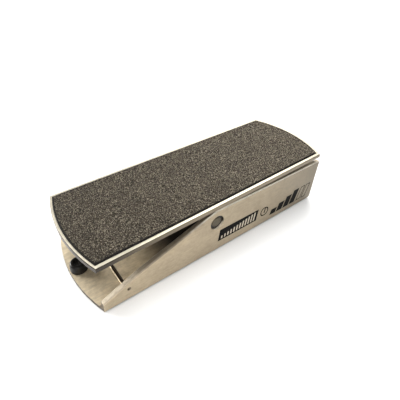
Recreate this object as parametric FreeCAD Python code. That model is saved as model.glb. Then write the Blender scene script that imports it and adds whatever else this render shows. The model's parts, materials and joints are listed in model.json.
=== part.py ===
import FreeCAD, Part
import math
import os

from FreeCAD import Vector

# Volume pedal: a rocking foot treadle on a channel-shaped aluminium housing.
# Millimetres.  +X is the player's right, +Y points at the toe, +Z is up.
# The origin is under the middle of the whole pedal, on the surface that it stands on.

# Housing
WIDTH = 88.9                 # 3.5 in over the side walls
WALL = 4.8                   # side wall thickness
FOOT_HEIGHT = 1.6            # rubber feet lift the housing by this much
FLOOR = 3.0                  # floor thickness
HEEL_CORNER_Y = -116.4       # heel end of the side walls
HEEL_BULGE = 8.0             # the heel floor bows out past the walls
TOE_CORNER_Y = 116.7         # toe end of the side walls
WALL_TOP = 46.8
HEEL_WALL_TOP = 9.5          # wall height at the heel corner
SLOPE_START_Y = -16.0        # here the wall top starts to fall towards the heel
KINK_Y = -87.7               # here it falls more steeply
KINK_Z = 22.3
TOE_ROUNDING = 2.5           # rounded lower toe corner of each wall
GROOVE_TOE_Y = -93.4         # gap between heel floor and bottom cover
GROOVE_WIDTH = 3.0
CROSS_Y = 98.0               # toe cross member starts here
LIP_WIDTH = 7.0              # ledges that the bottom cover is screwed to
LIP_HEIGHT = 3.0
EDGE_EASE = 0.9              # chamfer along the long upper edges of the walls
GROOVE_BEAD = (0.6, 0.35)    # width and height of the raised edge on the heel side of the gap
COVER_THICKNESS = 2.6
COVER_GAP = 0.3              # play of the bottom cover and toe panel in the housing
SEAL_THICKNESS = 0.9         # dark sealing strip at the bottom of the gap
TIE_HOLE_Y = -96.1
TIE_HOLE_Z = 12.0
TIE_HOLE_RADIUS = 1.5
half_width = WIDTH / 2
inner_x = half_width - WALL

# Pivot
PIVOT_Y = -14.8
PIVOT_Z = 34.0
AXLE_RADIUS = 4.5
AXLE_RECESS = 0.6            # axle end below the wall's outer face
PIVOT_HOLE_RADIUS = 6.8
BUSH_RECESS = 1.5
BUSH_FLANGE_RADIUS = 9.5
BUSH_FLANGE = 1.5
WASHER_RADIUS = 8.0
WASHER_THICKNESS = 1.0
RUNNING_GAP = 0.05           # radial clearance where one piece turns in another

# Treadle, drawn level and then tipped to its stored angle
REST_TILT = 1.82             # degrees, heel down
TREADLE_TOP = 51.65
TREADLE_THICKNESS = 3.6
TREADLE_HEEL_Y = -116.9      # corners of the outline
TREADLE_TOE_Y = 115.0
TREADLE_HEEL_BULGE = 7.7
TREADLE_TOE_BULGE = 10.5
TREADLE_EASE = 0.5           # chamfer round its top edge
PAD_INSET = 2.9              # bare rim along the sides
PAD_HEEL_INSET = 1.1         # from the treadle's heel corners to the pad's
PAD_HEEL_BULGE = 6.8
PAD_THICKNESS = 1.1
EAR_X = (13.0, inner_x - 2.6)
EAR_THICKNESS = 4.0
EAR_HALF_LENGTH = 9.0
EAR_FLANGE = (14.0, 2.5)     # half length and thickness of the flange under the treadle
BOSS_LENGTH = 8.0

# Fasteners and rubber
M3 = 1.5                     # shank radius of an M3 screw
M4 = 2.0
HOLE_GAP = 0.05              # screw holes are this much larger in radius
PAN_HEAD_RADIUS = 2.8
PAN_HEAD_HEIGHT = 1.9
PAN_HEAD_EASE = 0.7
PAN_SLOT = (4.4, 0.7, 0.9)   # length, width and depth
FLAT_HEAD_RADIUS = 2.9
FLAT_HEAD_HEIGHT = 1.5
FLAT_SLOT = (4.4, 0.6, 0.6)
SHEET_HOLD = 2.0             # how far a screw reaches into the treadle or a sheet behind it
FOOT_RADIUS = 7.0
FOOT_X = 32.0
FOOT_Y = 107.0
FOOT_SCREW_COVER = 0.6       # floor left over the blind hole of each foot screw
BUMPER_X = 0.0
BUMPER_Y = -117.0
BUMPER_RADIUS = 6.9
BUMPER_HEIGHT = 7.8
BUMPER_EASE = 2.6
BUMPER_RECESS = (3.4, 3.0)   # radius and depth of the recess for its screw
BUMPER_SCREW_HEAD = (3.0, 1.8)
TOE_BUMPER_RADIUS = 6.0
TOE_BUMPER_Y = 101.0
TOE_BUMPER_GAP = 0.35        # left under the level treadle
TOE_BUMPER_STEM = 2.5
SHELF_Z = 33.0               # underside of the shelf that the toe bumper stands on
SHELF_THICKNESS = 1.8
SHELF_HALF_WIDTH = 11.0

# Toe panel and jacks
PANEL_Y = 110.0
PANEL_THICKNESS = 3.0
PANEL_DROP = 1.3             # panel top below the wall tops
PANEL_FLANGE = 2.5
JACK_X = {"output_jack": -25.0, "tuner_jack": 0.0, "input_jack": 25.0}
JACK_Z = 22.0
JACK_BUSH_RADIUS = 4.7       # 3/8 in threaded bush
JACK_BORE_RADIUS = 3.25      # takes a 6.35 mm plug
JACK_BODY = (21.0, 24.0, 18.0)
JACK_LUG = (2.4, 4.0, 0.6)   # width, length and thickness
JACK_BUSH_REACH = 4.2        # beyond the panel
JACK_NUT = (12.7, 2.6)       # across flats and thickness
JACK_WASHER = (7.0, 0.6)     # radius and thickness

# Potentiometer and string drive
POT_Y = 40.0
POT_Z = 36.5
POT_RADIUS = 8.5
SHAFT_RADIUS = 3.0
DRUM_RADIUS = 3.7
STRING_RADIUS = 0.4
STRING_X = 26.2
BRACKET_Y = (POT_Y - 8.0, POT_Y + 10.0)
BRACKET_SHEET = 1.5
POT_X = (-6.5, 4.0)          # the can, with its bush pointing right
POT_BUSH_RADIUS = 3.5
POT_BUSH_END = 12.0
POT_WASHER = (6.5, 0.6)
POT_NUT = (10.0, 2.2)
SHAFT_END = 33.0
DRUM_HALF_LENGTH = 2.7
DRUM_FLANGE = (5.2, 1.0)
DRUM_HUB_END = 5.4           # from the string's line
DRUM_GRUB_X = STRING_X + 3.6
GRUB_RADIUS = 1.0
CLOSE_FIT = 0.02             # radial clearance of a clamped shaft

# String bow: a C-shaped plate under the treadle with a pin at each tip
BOW_X = (20.0, 22.0)
BOW_TIP_Y = POT_Y - 3.7
PIN_Y = POT_Y - 5.6
SPINE_Y = (POT_Y - 17.0, POT_Y - 11.0)
BOW_TAB_Y = POT_Y - 26.0
BOW_TAB_X = 13.0
BOW_SHEET = 2.0
BOW_LOW = (10.5, 13.5)       # height range of the lower arm
BOW_TOP = (39.8, 44.2)
POST_Y = POT_Y - 33.0
SPRING_END_Y = POST_Y + 13.0
SPRING_RADIUS = 1.7
TOP_PIN_Z = 42.0
LOW_PIN_Z = 12.0
PIN_RADIUS = 1.0
LINE_Z = TOP_PIN_Z + PIN_RADIUS + STRING_RADIUS

# Circuit board and its switch
BOARD_X = (-35.0, -10.0)
BOARD_Y = (POT_Y - 7.0, POT_Y + 9.0)
BOARD_THICKNESS = 1.6
STANDOFF_RADIUS = 2.6
STANDOFF_HEIGHT = 3.9
SWITCH_X = (-25.5, -19.5)
SWITCH_Y = (POT_Y - 4.0, POT_Y + 6.0)
SWITCH_HEIGHT = 3.6
SWITCH_WALL = 1.9            # beside the slot that the slider moves in
SWITCH_END = 2.0             # at each end of the slot
SWITCH_BASE = 1.4            # below the slot
SLIDER_LENGTH = 3.0
SLIDER_PLAY = 0.1
SLIDER_TOP = 6.0
LEAD_RADIUS = 0.6

floor_top = FOOT_HEIGHT + FLOOR
lip_top = floor_top + LIP_HEIGHT
lip_screw_x = inner_x - LIP_WIDTH / 2
treadle_under = TREADLE_TOP - TREADLE_THICKNESS
panel_front = PANEL_Y + PANEL_THICKNESS
cover_low = floor_top - COVER_THICKNESS
sheet_top = lip_top + BRACKET_SHEET
board_low = sheet_top + STANDOFF_HEIGHT
board_top = board_low + BOARD_THICKNESS


def box(x, y, z):
    """Box between the given (low, high) pairs."""
    corner = Vector(x[0], y[0], z[0])
    return Part.makeBox(x[1] - x[0], y[1] - y[0], z[1] - z[0], corner)


def rod(radius, start, end):
    """Cylinder from one point to another."""
    a = Vector(*start)
    along = Vector(*end) - a
    return Part.makeCylinder(radius, along.Length, a, along)


def tube(outer, inner, start, end):
    return rod(outer, start, end).cut(rod(inner, start, end))


def group(shapes):
    return Part.makeCompound(shapes)


def tipped(shape):
    """Turn a treadle piece from level to its stored angle about the pivot."""
    turned = shape.copy()
    turned.rotate(Vector(0, PIVOT_Y, PIVOT_Z), Vector(1, 0, 0), REST_TILT)
    return turned


def bowed_outline(half, heel_y, toe_y, heel_bulge, toe_bulge, low, high):
    """Plate with straight sides, and heel and toe ends bowed outwards as arcs."""
    heel_left = Vector(-half, heel_y, low)
    heel_right = Vector(half, heel_y, low)
    toe_left = Vector(-half, toe_y, low)
    toe_right = Vector(half, toe_y, low)
    edges = [
        Part.Arc(heel_left, Vector(0, heel_y - heel_bulge, low), heel_right).toShape(),
        Part.LineSegment(heel_right, toe_right).toShape(),
        Part.Arc(toe_right, Vector(0, toe_y + toe_bulge, low), toe_left).toShape(),
        Part.LineSegment(toe_left, heel_left).toShape(),
    ]
    return Part.Face(Part.Wire(edges)).extrude(Vector(0, 0, high - low))


def side_wall(inner):
    """One side wall, extruded from its side profile, with its inner face at x = inner."""
    profile = [
        (HEEL_CORNER_Y, FOOT_HEIGHT),
        (TOE_CORNER_Y, FOOT_HEIGHT),
        (TOE_CORNER_Y, WALL_TOP),
        (SLOPE_START_Y, WALL_TOP),
        (KINK_Y, KINK_Z),
        (HEEL_CORNER_Y, HEEL_WALL_TOP),
    ]
    points = [Vector(inner, y, z) for y, z in profile]
    wall = Part.Face(Part.makePolygon(points + points[:1])).extrude(Vector(WALL, 0, 0))

    def toe_foot(edge):
        middle = edge.CenterOfMass
        return abs(middle.y - TOE_CORNER_Y) < 0.01 and abs(middle.z - FOOT_HEIGHT) < 0.01

    return wall.makeFillet(TOE_ROUNDING, [e for e in wall.Edges if toe_foot(e)])


def ease_long_edges(shape, size, z_low):
    """Break the sharp upper edges of a wall or plate with a small chamfer."""
    chosen = []
    for edge in shape.Edges:
        bounds = edge.BoundBox
        if bounds.ZMin >= z_low and bounds.YLength > 15:
            chosen.append(edge)
    return shape.makeChamfer(size, chosen)


def screw_down(x, y, under_head, length, radius=M3):
    """Pan-head screw with its head on top and its shank pointing down."""
    head = rod(PAN_HEAD_RADIUS, (x, y, under_head), (x, y, under_head + PAN_HEAD_HEIGHT))
    head = head.makeFillet(PAN_HEAD_EASE, [max(head.Edges, key=lambda e: e.CenterOfMass.z)])
    shank = rod(radius, (x, y, under_head - length), (x, y, under_head))
    long, wide, deep = PAN_SLOT
    top = under_head + PAN_HEAD_HEIGHT
    slot = box((x - long / 2, x + long / 2), (y - wide / 2, y + wide / 2), (top - deep, top + 1))
    return head.fuse(shank).cut(slot)


def screw_up(x, y, over_head, length, radius=M3):
    """Pan-head screw with its head below and its shank pointing up."""
    screw = screw_down(x, y, over_head, length, radius)
    return screw.rotate(Vector(x, y, over_head), Vector(1, 0, 0), 180)


def countersunk_up(x, y, bottom, length):
    """Flat-head screw driven upwards, its head flush at z = bottom."""
    head = Part.makeCone(FLAT_HEAD_RADIUS, M3, FLAT_HEAD_HEIGHT, Vector(x, y, bottom))
    shank = rod(M3, (x, y, bottom), (x, y, bottom + length))
    long, wide, deep = FLAT_SLOT
    slot = box((x - long / 2, x + long / 2), (y - wide / 2, y + wide / 2), (bottom - 1, bottom + deep))
    return head.fuse(shank).cut(slot)


def countersink(x, y, bottom, depth):
    cone = Part.makeCone(FLAT_HEAD_RADIUS + HOLE_GAP, M3 + HOLE_GAP, FLAT_HEAD_HEIGHT, Vector(x, y, bottom))
    return cone.fuse(rod(M3 + HOLE_GAP, (x, y, bottom), (x, y, bottom + depth)))


def hexagon(across_flats, bore, x, y0, y1, z):
    """Hexagonal nut with its axis along Y."""
    corner = across_flats / math.sqrt(3)
    points = []
    for i in range(7):
        angle = math.radians(60 * i)
        points.append(Vector(x + corner * math.cos(angle), y0, z + corner * math.sin(angle)))
    nut = Part.Face(Part.makePolygon(points)).extrude(Vector(0, y1 - y0, 0))
    return nut.cut(rod(bore, (x, y0 - 1, z), (x, y1 + 1, z)))


def ring_about_x(major, x, y, z):
    """A turn of string round something whose axis is along X."""
    return Part.makeTorus(major, STRING_RADIUS, Vector(x, y, z), Vector(1, 0, 0))


# Screw places, shared by the pieces they join
cover_screw_places = [(s * lip_screw_x, y) for s in (-1, 1) for y in (-80.0, -5.0, 82.0)]
foot_places = [(s * FOOT_X, t * FOOT_Y) for s in (-1, 1) for t in (-1, 1)]
panel_screw_places = [(-14.0, 104.5), (14.0, 104.5)]
pot_bracket_screw_places = [(s * lip_screw_x, y) for s in (-1, 1) for y in (POT_Y - 4, POT_Y + 6)]
ear_screw_places = [(s * 20.0, PIVOT_Y + t * 8.0) for s in (-1, 1) for t in (-1, 1)]
bow_screw_places = [(17.0, POT_Y - 22), (17.0, POT_Y - 14)]
standoff_places = [(-31.0, POT_Y + 1), (-14.0, POT_Y + 1)]
bumper_bracket_screw_x = (-7.0, 7.0)
bumper_bracket_screw_z = 40.0


def heel_floor_plate():
    """Floor at the heel, bowed outwards past the side walls."""
    groove = GROOVE_TOE_Y - GROOVE_WIDTH
    corners = [Vector(half_width, HEEL_CORNER_Y, FOOT_HEIGHT), Vector(half_width, groove, FOOT_HEIGHT),
               Vector(-half_width, groove, FOOT_HEIGHT), Vector(-half_width, HEEL_CORNER_Y, FOOT_HEIGHT)]
    edges = [Part.LineSegment(a, b).toShape() for a, b in zip(corners, corners[1:])]
    apex = Vector(0, HEEL_CORNER_Y - HEEL_BULGE, FOOT_HEIGHT)
    edges.append(Part.Arc(corners[3], apex, corners[0]).toShape())
    return Part.Face(Part.Wire(edges)).extrude(Vector(0, 0, FLOOR))


def groove_bead():
    """Low raised edge across the heel floor, beside the gap, sloping on its heel side."""
    wide, high = GROOVE_BEAD
    toe = GROOVE_TOE_Y - GROOVE_WIDTH
    profile = [(toe - wide, floor_top), (toe, floor_top), (toe, floor_top + high),
               (toe - wide / 2, floor_top + high)]
    points = [Vector(-inner_x, y, z) for y, z in profile]
    return Part.Face(Part.makePolygon(points + points[:1])).extrude(Vector(2 * inner_x, 0, 0))


def housing():
    right = side_wall(inner_x)
    right = ease_long_edges(right, EDGE_EASE, FOOT_HEIGHT + 5)
    left = right.mirror(Vector(0, 0, 0), Vector(1, 0, 0))
    heel_floor = heel_floor_plate()
    cross = box((-inner_x, inner_x), (CROSS_Y, TOE_CORNER_Y), (FOOT_HEIGHT, floor_top))
    body = right.fuse([left, heel_floor, cross, groove_bead()])
    for side in (-1, 1):
        x = sorted((side * inner_x, side * (inner_x - LIP_WIDTH)))
        body = body.fuse(box(x, (GROOVE_TOE_Y, CROSS_Y + 0.7), (floor_top, lip_top)))
    far = half_width + 1
    holes = [
        rod(PIVOT_HOLE_RADIUS, (-far, PIVOT_Y, PIVOT_Z), (far, PIVOT_Y, PIVOT_Z)),
        rod(TIE_HOLE_RADIUS, (-far, TIE_HOLE_Y, TIE_HOLE_Z), (far, TIE_HOLE_Y, TIE_HOLE_Z)),
        rod(M4 + HOLE_GAP, (BUMPER_X, BUMPER_Y, 0), (BUMPER_X, BUMPER_Y, floor_top + 1)),
    ]
    for x, y in cover_screw_places + pot_bracket_screw_places:
        holes.append(rod(M3 + HOLE_GAP, (x, y, 0), (x, y, lip_top + 1)))
    for x, y in foot_places:
        holes.append(rod(M3 + HOLE_GAP, (x, y, 0), (x, y, floor_top - FOOT_SCREW_COVER)))
    for x, y in panel_screw_places:
        holes.append(countersink(x, y, FOOT_HEIGHT, 4))
    return body.cut(holes).removeSplitter()


def between_walls(y, z):
    """Plate across the housing with a little play at each wall."""
    return box((COVER_GAP - inner_x, inner_x - COVER_GAP), y, z)


def bottom_cover():
    plate = between_walls((GROOVE_TOE_Y, CROSS_Y - COVER_GAP), (cover_low, floor_top))
    return plate.cut([countersink(x, y, cover_low, 4) for x, y in cover_screw_places])


def gap_seal():
    return between_walls((GROOVE_TOE_Y - GROOVE_WIDTH, GROOVE_TOE_Y), (cover_low, cover_low + SEAL_THICKNESS))


def cover_screws():
    return group([countersunk_up(x, y, cover_low, 5.4) for x, y in cover_screw_places])


def rubber_feet():
    feet = []
    for x, y in foot_places:
        foot = tube(FOOT_RADIUS, M3 + HOLE_GAP, (x, y, 0), (x, y, FOOT_HEIGHT))
        feet.append(foot.cut(rod(PAN_HEAD_RADIUS + 0.2, (x, y, -1), (x, y, 1.0))))
    return group(feet)


def foot_screws():
    screws = []
    for x, y in foot_places:
        head = rod(PAN_HEAD_RADIUS, (x, y, 0.2), (x, y, 1.0))
        screws.append(head.fuse(rod(M3, (x, y, 1.0), (x, y, floor_top - FOOT_SCREW_COVER - 0.2))))
    return group(screws)


def heel_bumper():
    top = floor_top + BUMPER_HEIGHT
    here = (BUMPER_X, BUMPER_Y)
    body = rod(BUMPER_RADIUS, (*here, floor_top), (*here, top))
    rim = [e for e in body.Edges if e.Closed and abs(e.CenterOfMass.z - top) < 0.01]
    body = body.makeFillet(BUMPER_EASE, rim)
    body = body.cut(rod(M4 + HOLE_GAP, (*here, floor_top - 1), (*here, top)))
    recess_radius, recess_depth = BUMPER_RECESS
    return body.cut(rod(recess_radius, (*here, top - recess_depth), (*here, top + 1)))


def heel_bumper_screw():
    seat = floor_top + BUMPER_HEIGHT - BUMPER_RECESS[1]
    head_radius, head_height = BUMPER_SCREW_HEAD
    head = rod(head_radius, (BUMPER_X, BUMPER_Y, seat), (BUMPER_X, BUMPER_Y, seat + head_height))
    shank = rod(M4, (BUMPER_X, BUMPER_Y, FOOT_HEIGHT + 0.3), (BUMPER_X, BUMPER_Y, seat))
    long, wide, deep = PAN_SLOT
    slot = box((BUMPER_X - long / 2, BUMPER_X + long / 2), (BUMPER_Y - wide / 2, BUMPER_Y + wide / 2),
               (seat + head_height - deep, seat + head_height + 1))
    return head.fuse(shank).cut(slot)


def pivot_bush(side):
    flange = rod(BUSH_FLANGE_RADIUS, (side * (inner_x - BUSH_FLANGE), PIVOT_Y, PIVOT_Z),
                 (side * inner_x, PIVOT_Y, PIVOT_Z))
    sleeve = rod(PIVOT_HOLE_RADIUS - HOLE_GAP, (side * inner_x, PIVOT_Y, PIVOT_Z),
                 (side * (half_width - BUSH_RECESS), PIVOT_Y, PIVOT_Z))
    bore = rod(AXLE_RADIUS + RUNNING_GAP, (side * (inner_x - 3), PIVOT_Y, PIVOT_Z),
               (side * (half_width + 1), PIVOT_Y, PIVOT_Z))
    return flange.fuse(sleeve).cut(bore)


def toe_panel():
    plate = between_walls((PANEL_Y, panel_front), (floor_top, WALL_TOP - PANEL_DROP))
    flange = between_walls((CROSS_Y + 1, panel_front), (floor_top, floor_top + PANEL_FLANGE))
    panel = plate.fuse(flange)
    holes = []
    for x in JACK_X.values():
        bush = JACK_BUSH_RADIUS + HOLE_GAP
        holes.append(rod(bush, (x, PANEL_Y - 1, JACK_Z), (x, panel_front + 1, JACK_Z)))
    for x, y in panel_screw_places:
        holes.append(rod(M3 + HOLE_GAP, (x, y, 0), (x, y, floor_top + 3)))
    for x in bumper_bracket_screw_x:
        holes.append(rod(M3 + HOLE_GAP, (x, PANEL_Y - 1, bumper_bracket_screw_z),
                         (x, PANEL_Y + 2.6, bumper_bracket_screw_z)))
    return panel.cut(holes).removeSplitter()


def panel_screws():
    return group([countersunk_up(x, y, FOOT_HEIGHT, 5.2) for x, y in panel_screw_places])


def bumper_bracket():
    across = (-SHELF_HALF_WIDTH, SHELF_HALF_WIDTH)
    leg = box(across, (PANEL_Y - SHELF_THICKNESS, PANEL_Y), (SHELF_Z, WALL_TOP - PANEL_DROP - 1))
    shelf = box(across, (TOE_BUMPER_Y - 8, PANEL_Y), (SHELF_Z, SHELF_Z + SHELF_THICKNESS))
    bracket = leg.fuse(shelf)
    holes = [rod(TOE_BUMPER_STEM + HOLE_GAP, (0, TOE_BUMPER_Y, SHELF_Z - 1), (0, TOE_BUMPER_Y, SHELF_Z + 3))]
    for x in bumper_bracket_screw_x:
        holes.append(rod(M3 + HOLE_GAP, (x, PANEL_Y - 3, bumper_bracket_screw_z),
                         (x, PANEL_Y + 1, bumper_bracket_screw_z)))
    return bracket.cut(holes).removeSplitter()


def bumper_bracket_screws():
    screws = []
    for x in bumper_bracket_screw_x:
        seat = PANEL_Y - SHELF_THICKNESS
        z = bumper_bracket_screw_z
        head = rod(PAN_HEAD_RADIUS, (x, seat - 1.6, z), (x, seat, z))
        screws.append(head.fuse(rod(M3, (x, seat, z), (x, PANEL_Y + 2.4, z))))
    return group(screws)


def toe_bumper():
    foot = (0, TOE_BUMPER_Y, SHELF_Z + SHELF_THICKNESS)
    body = rod(TOE_BUMPER_RADIUS, foot, (0, TOE_BUMPER_Y, treadle_under - TOE_BUMPER_GAP))
    body = body.makeFillet(1.6, [max(body.Edges, key=lambda e: e.CenterOfMass.z)])
    stem = rod(TOE_BUMPER_STEM, (0, TOE_BUMPER_Y, SHELF_Z), foot)
    return body.fuse(stem)


def jack(x):
    wide, deep, high = JACK_BODY
    back = PANEL_Y - deep
    body = box((x - wide / 2, x + wide / 2), (back, PANEL_Y), (JACK_Z - high / 2, JACK_Z + high / 2))
    body = body.makeFillet(1.2, [e for e in body.Edges if e.BoundBox.YLength > deep - 0.1])
    bush = rod(JACK_BUSH_RADIUS, (x, PANEL_Y, JACK_Z), (x, panel_front + JACK_BUSH_REACH, JACK_Z))
    jack_body = body.fuse(bush)
    lug_width, lug_length, lug_thickness = JACK_LUG
    for i in (-1, 0, 1):
        middle = x + 6 * i
        lug = box((middle - lug_width / 2, middle + lug_width / 2), (back - lug_length, back),
                  (JACK_Z + 1, JACK_Z + 1 + lug_thickness))
        jack_body = jack_body.fuse(lug)
    bore = rod(JACK_BORE_RADIUS, (x, PANEL_Y - deep + 3, JACK_Z), (x, panel_front + 6, JACK_Z))
    return jack_body.cut(bore)


def jack_nuts():
    flats, thickness = JACK_NUT
    start = panel_front + JACK_WASHER[1]
    bore = JACK_BUSH_RADIUS + HOLE_GAP
    return group([hexagon(flats, bore, x, start, start + thickness, JACK_Z) for x in JACK_X.values()])


def jack_washers():
    radius, thickness = JACK_WASHER
    bore = JACK_BUSH_RADIUS + HOLE_GAP
    return group([tube(radius, bore, (x, panel_front, JACK_Z), (x, panel_front + thickness, JACK_Z))
                  for x in JACK_X.values()])


def pot_bracket():
    foot = box((1.5 - inner_x, inner_x - 1.5), BRACKET_Y, (lip_top, sheet_top))
    leg = box((POT_X[1], POT_X[1] + BRACKET_SHEET), BRACKET_Y, (lip_top, POT_Z + 9))
    bracket = foot.fuse(leg)
    holes = [rod(POT_BUSH_RADIUS + HOLE_GAP, (POT_X[1] - 1, POT_Y, POT_Z), (POT_X[1] + 3, POT_Y, POT_Z))]
    for x, y in pot_bracket_screw_places + standoff_places:
        holes.append(rod(M3 + HOLE_GAP, (x, y, lip_top - 1), (x, y, lip_top + 3)))
    return bracket.cut(holes).removeSplitter()


def pot_bracket_screws():
    return group([screw_down(x, y, sheet_top, 4.3) for x, y in pot_bracket_screw_places])


def pot_body():
    can = rod(POT_RADIUS, (POT_X[0], POT_Y, POT_Z), (POT_X[1], POT_Y, POT_Z))
    can = can.makeFillet(0.8, [min(can.Edges, key=lambda e: e.CenterOfMass.x)])
    bush = rod(POT_BUSH_RADIUS, (POT_X[1], POT_Y, POT_Z), (POT_BUSH_END, POT_Y, POT_Z))
    terminals = []
    for i in (-1, 0, 1):
        y = POT_Y + 5 * i
        terminals.append(box((0.6, 1.2), (y - 1.0, y + 1.0), (POT_Z - 14, POT_Z - 5)))
    body = can.fuse([bush] + terminals)
    return body.cut(rod(SHAFT_RADIUS + RUNNING_GAP, (0, POT_Y, POT_Z), (13, POT_Y, POT_Z)))


def pot_washer():
    radius, thickness = POT_WASHER
    start = POT_X[1] + BRACKET_SHEET
    return tube(radius, POT_BUSH_RADIUS + HOLE_GAP, (start, POT_Y, POT_Z), (start + thickness, POT_Y, POT_Z))


def pot_nut():
    flats, thickness = POT_NUT
    start = POT_X[1] + BRACKET_SHEET + POT_WASHER[1]
    nut = hexagon(flats, POT_BUSH_RADIUS + HOLE_GAP, 0, start, start + thickness, 0)
    nut.rotate(Vector(0, 0, 0), Vector(0, 0, 1), -90)
    return nut.translate(Vector(0, POT_Y, POT_Z))


def pot_shaft():
    shaft = rod(SHAFT_RADIUS, (0.3, POT_Y, POT_Z), (SHAFT_END, POT_Y, POT_Z))
    slot = box((SHAFT_END - 1.5, SHAFT_END + 1), (POT_Y - 0.5, POT_Y + 0.5), (POT_Z - 4, POT_Z + 4))
    return shaft.cut(slot)


def string_drum():
    flange_radius, flange = DRUM_FLANGE
    low = STRING_X - DRUM_HALF_LENGTH
    high = STRING_X + DRUM_HALF_LENGTH
    barrel = rod(DRUM_RADIUS, (low, POT_Y, POT_Z), (high, POT_Y, POT_Z))
    inboard = rod(flange_radius, (low, POT_Y, POT_Z), (low + flange, POT_Y, POT_Z))
    hub = rod(flange_radius, (high - flange, POT_Y, POT_Z), (STRING_X + DRUM_HUB_END, POT_Y, POT_Z))
    drum = barrel.fuse([inboard, hub])
    bore = rod(SHAFT_RADIUS + CLOSE_FIT, (20, POT_Y, POT_Z), (36, POT_Y, POT_Z))
    grub = rod(GRUB_RADIUS + HOLE_GAP, (DRUM_GRUB_X, POT_Y, POT_Z), (DRUM_GRUB_X, POT_Y, POT_Z + 8))
    return drum.cut([bore, grub])


def drum_set_screw():
    start = POT_Z + SHAFT_RADIUS + 0.1
    return rod(GRUB_RADIUS, (DRUM_GRUB_X, POT_Y, start), (DRUM_GRUB_X, POT_Y, POT_Z + DRUM_FLANGE[0] - 0.1))


def board_standoffs():
    return group([tube(STANDOFF_RADIUS, M3 + HOLE_GAP, (x, y, sheet_top), (x, y, board_low))
                  for x, y in standoff_places])


def circuit_board():
    board = box(BOARD_X, BOARD_Y, (board_low, board_top))
    return board.cut([rod(M3 + HOLE_GAP, (x, y, board_low - 1), (x, y, board_top + 1))
                      for x, y in standoff_places])


def board_screws():
    return group([screw_down(x, y, board_top, board_top - lip_top - 0.2) for x, y in standoff_places])


def taper_switch_body():
    body = box(SWITCH_X, SWITCH_Y, (board_top, board_top + SWITCH_HEIGHT))
    slot = box((SWITCH_X[0] + SWITCH_WALL, SWITCH_X[1] - SWITCH_WALL),
               (SWITCH_Y[0] + SWITCH_END, SWITCH_Y[1] - SWITCH_END),
               (board_top + SWITCH_BASE, board_top + SWITCH_HEIGHT + 1))
    return body.cut(slot)


def taper_switch_slider():
    inset = SWITCH_WALL + SLIDER_PLAY
    start = SWITCH_Y[0] + SWITCH_END + 2 * SLIDER_PLAY
    return box((SWITCH_X[0] + inset, SWITCH_X[1] - inset), (start, start + SLIDER_LENGTH),
               (board_top + SWITCH_BASE + SLIDER_PLAY, board_top + SLIDER_TOP))


def lead(points, radius):
    """Wire along straight runs joined by tangent arcs of the given radius."""
    points = [Vector(*p) for p in points]
    edges = []
    start = points[0]
    for before, corner, after in zip(points, points[1:], points[2:]):
        back = (before - corner).normalize()
        ahead = (after - corner).normalize()
        half_turn = back.getAngle(ahead) / 2
        reach = radius / math.tan(half_turn)
        middle = corner + (back + ahead).normalize() * (radius / math.sin(half_turn) - radius)
        arc_start = corner + back * reach
        arc_end = corner + ahead * reach
        edges.append(Part.LineSegment(start, arc_start).toShape())
        edges.append(Part.Arc(arc_start, middle, arc_end).toShape())
        start = arc_end
    edges.append(Part.LineSegment(start, points[-1]).toShape())
    path = Part.Wire(edges)
    section = Part.Wire(Part.Circle(points[0], points[1] - points[0], LEAD_RADIUS).toShape())
    return path.makePipeShell([section], True, False)


def wiring():
    """Leads from each jack to the circuit board, and from the board to the potentiometer."""
    leads = []
    lug_y = PANEL_Y - JACK_BODY[1] - 4.3
    pad_z = board_top + LEAD_RADIUS
    for index, x in enumerate(JACK_X.values()):
        pad_x = -28.0 + 6.0 * index
        route = [(x, lug_y, JACK_Z + 1.3), (x, lug_y - 6, JACK_Z + 1.3),
                 (pad_x, POT_Y + 18, pad_z + 3 + index * 1.6), (pad_x, POT_Y + 9.3, pad_z)]
        leads.append(lead(route, 2.5))
    for index in (-1, 0, 1):
        y = POT_Y + 5 * index
        route = [(0.9, y, POT_Z - 14.7), (0.9, y, POT_Z - 18.2), (-8.6, y, POT_Z - 19.4)]
        leads.append(lead(route, 2.0))
    return group(leads)


def treadle_plate():
    plate = bowed_outline(half_width, TREADLE_HEEL_Y, TREADLE_TOE_Y, TREADLE_HEEL_BULGE,
                          TREADLE_TOE_BULGE, treadle_under, TREADLE_TOP)
    rim = [e for e in plate.Edges if e.BoundBox.ZMin > TREADLE_TOP - 0.01]
    plate = plate.makeChamfer(TREADLE_EASE, rim)
    hole_end = treadle_under + SHEET_HOLD + 0.2
    holes = [rod(M3 + HOLE_GAP, (x, y, treadle_under - 1), (x, y, hole_end))
             for x, y in ear_screw_places + bow_screw_places + [(STRING_X, POST_Y)]]
    return tipped(plate.cut(holes))


def grip_pad():
    half = half_width - PAD_INSET
    heel_y = TREADLE_HEEL_Y + PAD_HEEL_INSET
    toe_y = TREADLE_TOE_Y - PAD_INSET * 0.8
    return tipped(bowed_outline(half, heel_y, toe_y, PAD_HEEL_BULGE, TREADLE_TOE_BULGE - 1.0,
                                TREADLE_TOP, TREADLE_TOP + PAD_THICKNESS))


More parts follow.
